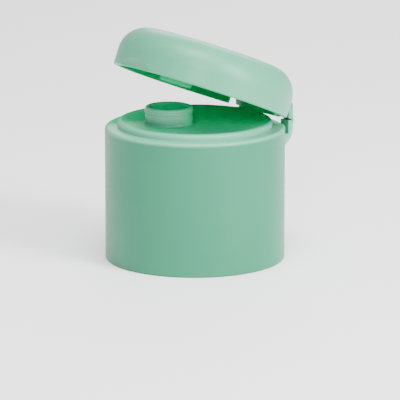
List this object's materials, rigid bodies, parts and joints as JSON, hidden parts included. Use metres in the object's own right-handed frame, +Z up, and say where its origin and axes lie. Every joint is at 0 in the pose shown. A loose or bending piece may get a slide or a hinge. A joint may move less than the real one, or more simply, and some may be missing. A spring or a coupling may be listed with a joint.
{
  "type": "flip top cap",
  "caption": "Round flip-top dispensing cap with a pouring spout, a domed lid on side straps and a threaded neck socket.",
  "frame": {"origin": "centre of the skirt's bottom rim, on the neck axis", "axes": "+Z up along the neck axis toward the spout, -Y toward the thumb side, +Y toward the hinge"},
  "size_m": [0.0272, 0.0283, 0.0353],
  "materials": {
    "body_plastic": "satin, slightly translucent moulded polypropylene",
    "lid_plastic": "satin, slightly translucent moulded polypropylene"
  },
  "bodies": {
    "cap_body": {"cap_body": "body_plastic"},
    "flip_lid": {"flip_lid": "lid_plastic"}
  },
  "joints": [
    {"name": "lid_hinge", "type": "hinge", "parent": "cap_body", "child": "flip_lid", "pos_m": [0, 0.0136, 0.0203], "axis": [-1, 0, 0], "range_deg": [-22, 148]}
  ]
}
